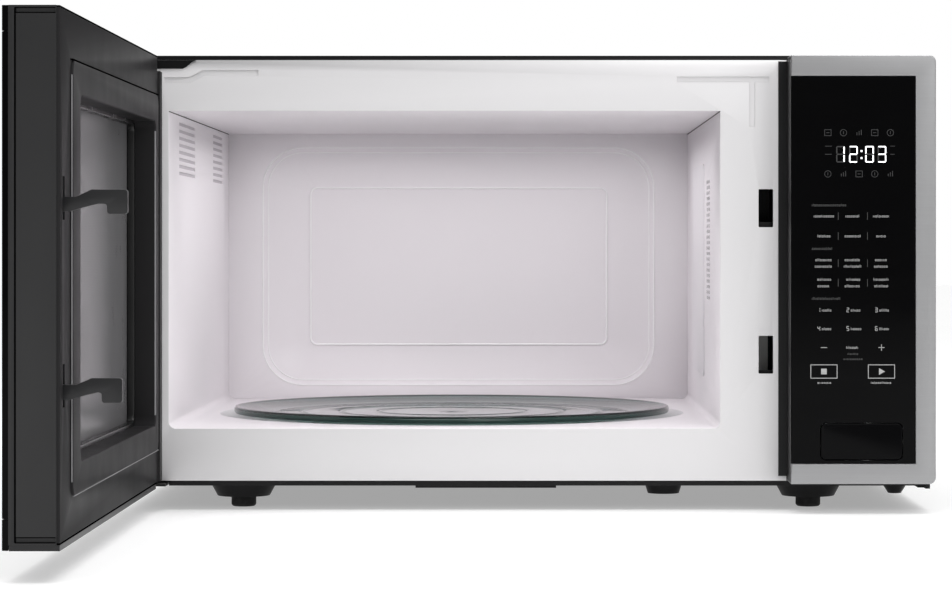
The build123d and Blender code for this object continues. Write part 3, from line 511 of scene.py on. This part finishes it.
class Print:
    """Flat marks on the panel's glass, gathered into one thin mesh.

    Across is measured from the glass's left edge and down from its top edge, both in millimetres.
    """

    def __init__(self, depth=0.06):
        low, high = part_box("control_glass")
        self.left, self.top, self.face = low.x, high.z, low.y
        self.depth = depth * MM
        self.verts = []
        self.faces = []

    def polygon(self, points):
        """A flat polygon of (across, down) points with a little thickness."""
        start = len(self.verts)
        count = len(points)
        for y in (self.face - self.depth, self.face + 0.02 * MM):
            for across, down in points:
                self.verts.append((self.left + across * MM, y, self.top - down * MM))
        self.faces.append(tuple(range(start, start + count)))
        self.faces.append(tuple(range(start + 2 * count - 1, start + count - 1, -1)))
        for k in range(count):
            after = (k + 1) % count
            self.faces.append((start + k, start + count + k, start + count + after, start + after))

    def bar(self, across, down, width, height):
        """A rectangle by its middle and size."""
        left, right = across - width / 2, across + width / 2
        high, low = down - height / 2, down + height / 2
        self.polygon([(left, low), (right, low), (right, high), (left, high)])

    def frame(self, across, down, width, height, line):
        """A rectangular outline."""
        self.bar(across, down - (height - line) / 2, width, line)
        self.bar(across, down + (height - line) / 2, width, line)
        self.bar(across - (width - line) / 2, down, line, height - 2 * line)
        self.bar(across + (width - line) / 2, down, line, height - 2 * line)

    def arc(self, across, down, radius, line, start, end, steps=14):
        """Part of a ring, from one angle to another in degrees."""
        for k in range(steps):
            a = math.radians(start + (end - start) * k / steps)
            b = math.radians(start + (end - start) * (k + 1) / steps)
            r, s = radius - line / 2, radius + line / 2
            corners = [(r, a), (s, a), (s, b), (r, b)]
            self.polygon([(across + d * math.cos(t), down - d * math.sin(t)) for d, t in corners])

    def label(self, across, down, width, seed, height=1.9):
        """A stand-in for a printed word: a run of small upright and round strokes, not letters."""
        pick = random.Random(seed)
        short = height * SHORT_SHARE
        x = across - width / 2
        while x < across + width / 2 - 0.6:
            kind = pick.choice(STROKES)
            if kind == "round":
                self.frame(x + 0.55, down + height * 0.14, 1.1, short, 0.26)
                x += 1.6
            else:
                tall = height if kind == "tall" else short
                self.bar(x + 0.15, down + (height - tall) / 2, 0.28, tall)
                x += 0.85

    def finish(self, name, material, slot):
        """The gathered marks as one piece."""
        return piece_from(name, self.verts, self.faces, material, "cabinet")


SEGMENTS = {
    "0": "abcdef", "1": "bc", "2": "abged", "3": "abgcd", "4": "fgbc", "5": "afgcd", "6": "afgedc",
}


def segment(marks, letter, x, y, w, h, t):
    """One bar of a seven-segment digit whose upper left corner is at x, y."""
    gap = 0.25
    places = {
        "a": (x + w / 2, y + t / 2, w - 2 * t * 0.6, t),
        "g": (x + w / 2, y + h / 2, w - 2 * t * 0.6, t),
        "d": (x + w / 2, y + h - t / 2, w - 2 * t * 0.6, t),
        "f": (x + t / 2, y + h / 4, t, h / 2 - t - gap),
        "b": (x + w - t / 2, y + h / 4, t, h / 2 - t - gap),
        "e": (x + t / 2, y + h * 3 / 4, t, h / 2 - t - gap),
        "c": (x + w - t / 2, y + h * 3 / 4, t, h / 2 - t - gap),
    }
    marks.bar(*places[letter])


CLOCK_DIGITS = (("1", 33.4), ("2", 43.0), ("0", 55.0), ("3", 64.2))  # each digit and its left edge
CLOCK_TOP = 51.9
DIGIT_SIZE = (6.3, 12.2, 0.85)  # width, height and bar thickness
COLON_X, COLON_ROWS = 52.2, (55.6, 60.8)
SIGN_COLUMNS = [27.2 + column * 11.6 for column in range(5)]  # the unlit signs round the digits
SIGN_ROWS = (42.0, 72.6)
SIGN_LINE = 0.4
DASH_ROWS = (52.0, 58.0)  # unlit dashes left and right of the digits


def unlit_sign(marks, kind, x, y):
    """One of three plain unlit signs: a barred box, a ring with a hand or rising bars."""
    if kind == 0:
        marks.frame(x, y, 5.2, 4.8, SIGN_LINE)
        marks.bar(x, y, 2.4, SIGN_LINE)
    elif kind == 1:
        marks.arc(x, y, 2.4, SIGN_LINE, 0, 360, 18)
        marks.bar(x, y, SIGN_LINE, 2.2)
    else:
        for k in range(3):
            marks.bar(x - 1.6 + 1.6 * k, y + 0.8 - 0.5 * k, 0.5, 2.0 + k)


def make_clock():
    """The lit clock and its unlit segments and signs."""
    lit, unlit = Print(), Print(0.04)
    for digit, x in CLOCK_DIGITS:
        for letter in "abcdefg":
            marks = lit if letter in SEGMENTS[digit] else unlit
            segment(marks, letter, x, CLOCK_TOP, *DIGIT_SIZE)
    for y in COLON_ROWS:
        lit.bar(COLON_X, y, 1.2, 1.3)
    lit.finish("clock_digits", printed("clock_lit", (0.95, 0.97, 1.0), 1.6), "black_glass")
    for column, x in enumerate(SIGN_COLUMNS):
        for row, y in enumerate(SIGN_ROWS):
            unlit_sign(unlit, (column + row) % 3, x, y)
    for y in DASH_ROWS:
        unlit.bar(27.6, y, 5.0, SIGN_LINE)
        unlit.bar(75.2, y, 3.4, SIGN_LINE)
    # the unlit segments and signs get a faint painted glow
    unlit.finish("clock_unlit", printed("clock_dim", (0.03, 0.03, 0.031), 0.012), "black_glass")


KEY_COLUMNS = (24.3, 45.8, 67.0)
HEADING_LEFT = 15.4
HEADINGS = ((95.7, 25.0, 1), (128.0, 16.0, 2), (165.1, 22.0, 3))  # down, width and seed
LABEL_ROWS = (  # down, and the width of each column's label
    (103.9, (15.0, 11.0, 12.4)),
    (118.7, (9.4, 12.0, 7.6)),
    (136.4, (12.6, 12.0, 9.4)),
    (141.2, (13.4, 13.4, 11.0)),
    (150.9, (9.6, 9.6, 11.8)),
    (155.8, (9.4, 12.0, 10.6)),
)
DIVIDER_COLUMNS = (34.9, 56.6)
DIVIDER_ROWS = (103.9, 118.7, 138.8, 153.4)
NUMBER_ROWS = (173.6, 187.4)
NUMBER_SIZE = (2.0, 3.4, 0.42)  # width, height and bar thickness
SIGN_ROW = 201.5  # minus, a label and plus
SIGN_LONG, SIGN_THICK = 4.6, 0.45
OUTLINED_ROW = 219.3  # the stop and start keys


def make_number_keys(marks):
    """Six keys, each a digit with a label."""
    for index, across in enumerate(KEY_COLUMNS):
        for row, down in enumerate(NUMBER_ROWS):
            for letter in SEGMENTS[str(index + 1 + 3 * row)]:
                segment(marks, letter, across - 4.8, down - 1.7, *NUMBER_SIZE)
            marks.label(across + 2.2, down + 0.2, 7.4, 90 + index + 3 * row)


def make_keys():
    """The touch keys' marks: dim headings, bright labels, numbers, signs and two outlined keys."""
    dim, bright = Print(), Print()
    left, middle, right = KEY_COLUMNS
    for down, width, seed in HEADINGS:
        dim.label(HEADING_LEFT + width / 2, down, width, seed)
    for number, (down, widths) in enumerate(LABEL_ROWS):
        for column, (across, width) in enumerate(zip(KEY_COLUMNS, widths)):
            bright.label(across, down, width, 10 * number + column + 20)
    for down in DIVIDER_ROWS:
        for across in DIVIDER_COLUMNS:
            dim.bar(across, down, 0.32, 5.6)
    make_number_keys(bright)
    bright.bar(left, SIGN_ROW, SIGN_LONG, SIGN_THICK)
    bright.label(middle, SIGN_ROW, 9.6, 101)
    bright.bar(right, SIGN_ROW, SIGN_LONG, SIGN_THICK)
    bright.bar(right, SIGN_ROW, SIGN_THICK, SIGN_LONG)
    dim.label(middle, 206.2, 8.0, 102, 1.5)
    dim.label(middle, 210.0, 14.0, 103, 1.5)
    for across in (left, right):
        bright.frame(across, OUTLINED_ROW, 20.0, 10.4, 0.5)
    bright.bar(left, OUTLINED_ROW, 4.2, 4.2)
    bright.polygon([(right - 1.8, 221.8), (right + 2.6, OUTLINED_ROW), (right - 1.8, 216.8)])
    bright.label(left, 227.6, 9.6, 104, 1.5)
    bright.label(right, 227.6, 15.6, 105, 1.5)
    # the printed headings and labels get a painted glow, though they are ink and no lamp
    dim.finish("key_headings", printed("ink_dim", (0.07, 0.07, 0.07), 0.02), "black_glass")
    bright.finish("key_labels", printed("ink_bright", (0.4, 0.4, 0.4), 0.13), "black_glass")


# ---------------------------------------------------------------- small cabinet and door details
def block_mesh(verts, faces, low, high):
    """Add a box between two corners to lists of vertices and faces."""
    start = len(verts)
    for z in (low[2], high[2]):
        for x, y in ((low[0], low[1]), (high[0], low[1]), (high[0], high[1]), (low[0], high[1])):
            verts.append((x, y, z))
    quads = ((0, 3, 2, 1), (4, 5, 6, 7), (0, 1, 5, 4), (1, 2, 6, 5), (2, 3, 7, 6), (3, 0, 4, 7))
    faces.extend(tuple(start + k for k in quad) for quad in quads)


def blocks_piece(name, boxes, material, body):
    """One piece made of plain boxes, each a pair of corners."""
    verts, faces = [], []
    for low, high in boxes:
        block_mesh(verts, faces, low, high)
    return piece_from(name, verts, faces, material, body)


DUCT_Y = (0.055, 0.425)  # the duct wall behind the left wall's vents
DUCT_HIGH = 0.055
SEAM_HIGH = 0.7 * MM  # height of the painted shade lines under the ceiling
HOLE_ROWS, HOLE_COLUMNS = 22, 7  # the lamp's holes in the right wall
HOLE_START = (130, 158)  # the first hole's place along Y and up, in millimetres
HOLE_PITCH = (6.4, 4.43)
HOLE_RADII = (1.42, 1.15)  # at the wall's face and behind it, in millimetres
HOLE_STEPS = 10


def make_lamp_holes(face, material):
    """A short dark tube round each of the lamp's holes: painted shade inside the holes."""
    verts, faces = [], []
    steps = HOLE_STEPS
    for row in range(HOLE_ROWS):
        for column in range(HOLE_COLUMNS):
            y = (HOLE_START[0] + column * HOLE_PITCH[0] + row % 2 * HOLE_PITCH[0] / 2) * MM
            z = (HOLE_START[1] + row * HOLE_PITCH[1]) * MM
            start = len(verts)
            for x, radius in zip((face - 0.05 * MM, face + 0.8 * MM), HOLE_RADII):
                for k in range(steps):
                    turn = 2 * math.pi * k / steps
                    verts.append((x, y + radius * MM * math.cos(turn), z + radius * MM * math.sin(turn)))
            for k in range(steps):
                after = (k + 1) % steps
                faces.append((start + k, start + after, start + steps + after, start + steps + k))
    piece_from("lamp_hole_painted_shade", verts, faces, material, "cabinet")


def make_cavity_details(materials):
    """What shows behind the vents, dark lines of painted shade under the ceiling and painted shade inside
    the lamp's holes.
    """
    low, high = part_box("cavity_liner")
    left, right, ceiling = low.x + 1 * MM, high.x - 1 * MM, high.z
    duct_low = (left - 1.6 * MM, DUCT_Y[0], ceiling - DUCT_HIGH)
    duct_high = (left - 0.9 * MM, DUCT_Y[1], ceiling - 1 * MM)
    duct = [(duct_low, duct_high)]
    blocks_piece("exhaust_duct_wall", duct, materials["vent_shade"], "cabinet")
    back = high.y - 2 * MM
    shade_lines = []
    for inner, outer in ((left - 0.02 * MM, left + 0.12 * MM), (right - 0.12 * MM, right + 0.02 * MM)):
        shade_lines.append(((inner, low.y, ceiling - SEAM_HIGH), (outer, back, ceiling + 0.02 * MM)))
    blocks_piece("ceiling_painted_shade_lines", shade_lines, materials["seam_shade"], "cabinet")
    make_lamp_holes(right, materials["seam_shade"])


def roll(name, x, z, radius, y, thick, material):
    """A rounded edge run round a rounded rectangle that faces the front."""
    curve = bpy.data.curves.new(name, "CURVE")
    curve.dimensions = "3D"
    curve.bevel_depth = thick
    curve.bevel_resolution = 3
    spline = curve.splines.new("POLY")
    path = []
    for cx, cz, start in ((x[1], z[1], 0), (x[0], z[1], 90), (x[0], z[0], 180), (x[1], z[0], 270)):
        mid_x = cx - math.copysign(radius, cx - (x[0] + x[1]) / 2)
        mid_z = cz - math.copysign(radius, cz - (z[0] + z[1]) / 2)
        for k in range(13):
            turn = math.radians(start + 7.5 * k)
            path.append((mid_x + radius * math.cos(turn), y, mid_z + radius * math.sin(turn)))
    spline.points.add(len(path) - 1)
    for point, place in zip(spline.points, path):
        point.co = (*place, 1.0)
    spline.use_cyclic_u = True
    spline.use_smooth = True
    obj = bpy.data.objects.new(name, curve)
    bpy.context.scene.collection.objects.link(obj)
    curve.materials.append(material)
    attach(obj, "cabinet")
    return obj


SHEET = 1 * MM  # the back wall's folded margin
FIELD_SIDES = (0.0309, 0.0304)  # from the margin to the pressed field, left and right
FIELD_ENDS = (0.0122, 0.0123)  # below and above
FIELD_STEP = 4.5 * MM  # width of the field's sloping edge
MIDDLE_SIDES, MIDDLE_ENDS = 0.0382, 0.032  # from the step to the middle field


def make_pressing_rolls(materials):
    """The soft rolled edges of the back wall's pressed field, in a lighter copy of the cavity's enamel:
    painted highlights along the edges.
    """
    low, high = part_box("cavity_back_wall")
    face = low.y
    field_x = (low.x + SHEET + FIELD_SIDES[0], high.x - SHEET - FIELD_SIDES[1])
    field_z = (low.z + SHEET + FIELD_ENDS[0], high.z - SHEET - FIELD_ENDS[1])
    step_x = (field_x[0] + FIELD_STEP, field_x[1] - FIELD_STEP)
    step_z = (field_z[0] + FIELD_STEP, field_z[1] - FIELD_STEP)
    middle_x = (step_x[0] + MIDDLE_SIDES, step_x[1] - MIDDLE_SIDES)
    middle_z = (step_z[0] + MIDDLE_ENDS, step_z[1] - MIDDLE_ENDS)
    metal = materials["enamel_painted_highlight"]
    roll("pressing_outer_roll_highlight", field_x, field_z, 0.036, face + 0.5 * MM, 1.0 * MM, metal)
    roll("pressing_step_roll_highlight", step_x, step_z, 0.0315, face + 4.2 * MM, 0.8 * MM, metal)
    roll("pressing_middle_roll_highlight", middle_x, middle_z, 0.006, face + 8.8 * MM, 1.0 * MM, metal)


def make_door_bar_ends(materials):
    """Black strips on the free ends of the door's stainless bars: painted shade where the bars' ends lie in
    shadow.
    """
    low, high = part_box("door_bezel")
    glass_low, glass_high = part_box("door_glass")
    tip = low.y
    boxes = []
    for bottom, top in ((low.z, glass_low.z), (glass_high.z, high.z)):
        outer = (low.x + 0.1 * MM, tip - 0.02 * MM, bottom + 0.2 * MM)
        inner = (high.x, tip + 0.2 * MM, top - 0.2 * MM)
        boxes.append((outer, inner))
    blocks_piece("door_bar_end_painted_shade", boxes, materials["black_glass"], "door")


SPRINGS = (
    ("latch_spring", "door", "latch", 2),
    ("button_spring", "cabinet", "button", 1),
)


def make_springs():
    """Copies of the two coil springs, standing for their CAD nodes.
    """
    for node, seat, pushed, axis in SPRINGS:
        mesh = frame["nodes"][node].data.copy()
        obj = bpy.data.objects.new(f"{node}_coil", mesh)
        bpy.context.scene.collection.objects.link(obj)
        low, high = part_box(node)
        start = (low + high) / 2
        end = start.copy()
        start[axis], end[axis] = high[axis], low[axis]
        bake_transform(obj)
        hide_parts(node)


GROOVE_IN = 24.4 * MM  # from the shell's inner side to the groove down the free end
SLOT_LOW, SLOT_HIGH = 1.5 * MM, 4.6 * MM  # the free end's slots, from the shell's top and bottom
LINE = 0.55 * MM  # width of a painted shade line
BORDER_DROP = 1.6 * MM  # the cover's border lies this far below its raised panel
LIP_DROP = 3.4 * MM  # the lip reaches this far below the shell
PANEL_FREE = 42 * MM  # from the door's free end to the raised panel
PANEL_TOP, PANEL_BOTTOM = 29.7 * MM, 25.1 * MM  # from the shell's ends to the raised panel
PANEL_CORNER = 9 * MM
WINDOW_HINGE = 33.2 * MM  # from the hinge line to the window's opening
EDGE_WIDE = 0.7 * MM  # width of the painted highlight along the panel's edge


def make_door_lines(materials):
    """Dark strips of painted shade in the door's slots, groove and gaps and a painted shadow under the
    raised panel's top edge, the shell's lower lip, and light strips of painted highlight along the inner
    cover's edges.
    """
    low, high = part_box("door_shell")
    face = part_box("door_inner_cover")[1].x
    bush_low, bush_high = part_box("hinge_bushes")
    hinge_line = (bush_low.y + bush_high.y) / 2
    hinge_end = hinge_line - 13 * MM  # the seams stop short of the hinge
    lip_end = hinge_line - 20 * MM
    tip = low.y
    groove = high.x - GROOVE_IN
    border = face - BORDER_DROP
    free_edge = tip + PANEL_FREE
    panel_top, panel_bottom = high.z - PANEL_TOP, low.z + PANEL_BOTTOM
    window_edge = hinge_line - WINDOW_HINGE

    # black strips in the slots, the groove, the gaps at the cover's top and bottom and under the raised
    # panel's top edge: painted shade and shadow
    shade_lines = []
    outside, inside = tip - 0.05 * MM, tip + 0.4 * MM
    for z in (low.z + SLOT_LOW, low.z + SLOT_HIGH, high.z - SLOT_HIGH, high.z - SLOT_LOW):
        shade_lines.append(((groove, outside, z - LINE / 2), (high.x - 0.5 * MM, inside, z + LINE / 2)))
    shade_lines.append(((groove - LINE, outside, low.z + SLOT_LOW), (groove + LINE, inside, high.z - SLOT_LOW)))
    for bottom, top in ((high.z - 1.3 * MM, high.z - 0.1 * MM), (low.z + 0.1 * MM, low.z + 1.3 * MM)):
        shade_lines.append(((high.x, tip + 0.6 * MM, bottom), (border - 0.1 * MM, hinge_end, top)))
    panel_shadow_line = (border - 0.3 * MM, free_edge, panel_top)
    shade_lines.append((panel_shadow_line, (face - 0.1 * MM, hinge_end, panel_top + 0.7 * MM)))
    blocks_piece("door_painted_shade_lines", shade_lines, materials["painted_shade_black"], "door")

    lip = ((low.x + 0.5 * MM, tip, low.z - LIP_DROP), (border, lip_end, low.z + 0.05 * MM))
    blocks_piece("door_shell_lip", [lip], materials["door_plastic"], "door")

    # light grey strips along the raised panel and the window opening: painted highlights on the cover's
    # edges
    behind = face - 1.0 * MM
    panel_highlight = (
        (behind, free_edge - EDGE_WIDE, panel_bottom + PANEL_CORNER),
        (face - 0.35 * MM, free_edge, panel_top - PANEL_CORNER),
    )
    opening_highlight = (
        (behind, window_edge, low.z + 52 * MM),
        (face + 0.05 * MM, window_edge + 0.5 * MM, high.z - 57 * MM),
    )
    lower_highlight = (
        (border, free_edge + PANEL_CORNER, panel_bottom - 0.35 * MM),
        (face - 0.5 * MM, hinge_end, panel_bottom + 0.1 * MM),
    )
    edges = [panel_highlight, opening_highlight, lower_highlight]
    blocks_piece("door_cover_painted_highlights", edges, materials["painted_edge_highlight"], "door")


# ---------------------------------------------------------------- studio
def area_light(name, place, aim, size, power, colour=(1.0, 1.0, 1.0)):
    """A soft rectangular light."""
    data = bpy.data.lights.new(name, "AREA")
    data.shape = "RECTANGLE"
    data.size, data.size_y = size
    data.energy = power
    data.color = colour
    obj = bpy.data.objects.new(name, data)
    bpy.context.scene.collection.objects.link(obj)
    obj.location = place
    obj.rotation_euler = (Vector(aim) - Vector(place)).to_track_quat("-Z", "Y").to_euler()
    return obj


def make_world():
    """White to the camera; for the light itself, bright overhead and behind, dim on the camera's side."""
    world = bpy.data.worlds.new("studio")
    bpy.context.scene.world = world
    world.use_nodes = True
    tree = world.node_tree
    tree.nodes.clear()
    coords = tree.nodes.new("ShaderNodeTexCoord").outputs["Generated"]
    split = tree.nodes.new("ShaderNodeSeparateXYZ")
    tree.links.new(coords, split.inputs["Vector"])
    overhead = remap(tree, split.outputs["Z"], 0.1, 0.9, 0.1, 0.9)
    behind = remap(tree, split.outputs["Y"], 0.0, 0.6, -0.2, 0.9)
    total = tree.nodes.new("ShaderNodeMath")
    total.operation = "ADD"
    tree.links.new(overhead, total.inputs[0])
    tree.links.new(behind, total.inputs[1])
    room = tree.nodes.new("ShaderNodeBackground")
    tree.links.new(total.outputs["Value"], room.inputs["Strength"])
    seen = tree.nodes.new("ShaderNodeBackground")
    seen.inputs["Color"].default_value = (1.0, 1.0, 1.0, 1.0)
    room.inputs["Color"].default_value = (1.0, 1.0, 1.0, 1.0)
    path = tree.nodes.new("ShaderNodeLightPath")
    mix = tree.nodes.new("ShaderNodeMixShader")
    tree.links.new(path.outputs["Is Camera Ray"], mix.inputs["Fac"])
    tree.links.new(room.outputs["Background"], mix.inputs[1])
    tree.links.new(seen.outputs["Background"], mix.inputs[2])
    output = tree.nodes.new("ShaderNodeOutputWorld")
    tree.links.new(mix.outputs["Shader"], output.inputs["Surface"])


FLOOR = [(-8, -6, 0), (8, -6, 0), (8, 14, 0), (-8, 14, 0)]
FLOOR_GLOW = 0.36  # keeps the contact shadows pale
FILL_GAP = 0.012  # the fill light hangs this far below the cavity's ceiling
CAMERA_PLACE = (0.0, -2.289, 0.1976)
CAMERA_LENS = 114.7
CAMERA_SHIFT = (-0.0524, -0.050)


def make_floor():
    """A plain pale floor of slightly uneven paper."""
    mesh = bpy.data.meshes.new("floor")
    mesh.from_pydata(FLOOR, [], [(0, 1, 2, 3)])
    floor = bpy.data.objects.new("floor", mesh)
    bpy.context.scene.collection.objects.link(floor)
    mat, tree, shader, coords = new_material("floor_paper")
    cloud = remap(tree, noise(tree, coords, 1.5, 3.0), 0.0, 1.0)
    base = blend_colours(tree, cloud, (0.66, 0.66, 0.66), (0.68, 0.68, 0.68))
    tree.links.new(base, shader.inputs["Base Color"])
    shader.inputs["Roughness"].default_value = 0.7
    shader.inputs["Emission Color"].default_value = (1.0, 1.0, 1.0, 1.0)
    shader.inputs["Emission Strength"].default_value = FLOOR_GLOW
    mesh.materials.append(mat)


def make_lights():
    """A broad light overhead, a smaller one at the front right and a weak fill inside the cavity."""
    area_light("top_softbox", (0.1, -0.3, 2.4), (0.0, 0.0, 0.0), (2.4, 2.0), 46)
    area_light("front_softbox", (1.0, -2.6, 1.3), (-0.05, 0.1, 0.15), (1.2, 1.0), 16)
    low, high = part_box("cavity_liner")
    middle = ((low.x + high.x) / 2, (low.y + high.y) / 2)
    place, aim = (*middle, high.z - FILL_GAP), (*middle, 0)
    fill = area_light("cavity_fill", place, aim, (0.36, 0.36), 0.62, (1.0, 0.98, 0.99))
    fill.visible_camera = False
    fill.visible_glossy = False


def make_studio():
    """A plain pale floor, even soft light and the camera square to the cabinet's front."""
    scene = bpy.context.scene
    scene.view_settings.view_transform = "Standard"
    make_world()
    make_floor()
    make_lights()
    data = bpy.data.cameras.new("camera")
    data.sensor_width = 36.0
    data.lens = CAMERA_LENS
    data.shift_x, data.shift_y = CAMERA_SHIFT
    data.clip_end = 60.0
    camera = bpy.data.objects.new("camera", data)
    scene.collection.objects.link(camera)
    camera.location = CAMERA_PLACE
    camera.rotation_euler = (math.radians(90), 0.0, 0.0)
    scene.camera = camera


ROUNDED = {
    "cavity_front_plate": ("front_plate_enamel", 0.3 * MM),
    "cavity_back_wall": ("back_wall_enamel", 0.8 * MM),
    "cavity_liner": ("cavity_enamel", 0.4 * MM),
    "door_shell": ("door_shell_moulding", 0.45 * MM),
    "door_inner_cover": ("door_cover_moulding", 0.35 * MM),
    "window_gasket": ("door_window_frame", 1.1 * MM),
    "door_bezel": ("door_trim_bars", 0.2 * MM),
    "latch_bar": ("latch_hooks", 0.6 * MM),
    "outer_wrap": ("cabinet_wrap", 0.25 * MM),
    "control_bezel": ("panel_bezel", 0.2 * MM),
    "door_button": ("panel_door_button", 0.25 * MM),
    "front_feet": ("feet_front", 0.5 * MM),
    "rear_feet": ("feet_rear", 0.5 * MM),
    "base_pan": ("underside_pan", 0.4 * MM),
}


def corners(box):
    """A box's corners as plain lists of numbers."""
    return [[float(v) for v in corner] for corner in box]


def main():
    """The studio, the finishes and every piece made here."""
    make_studio()
    materials = make_materials()
    dress_cad_nodes(materials)
    for node, (name, width) in ROUNDED.items():
        rounded_copy(node, name, width)
    make_tray(materials)
    make_cavity_details(materials)
    make_pressing_rolls(materials)
    make_door_bar_ends(materials)
    make_door_lines(materials)
    make_springs()
    make_clock()
    make_keys()


main()
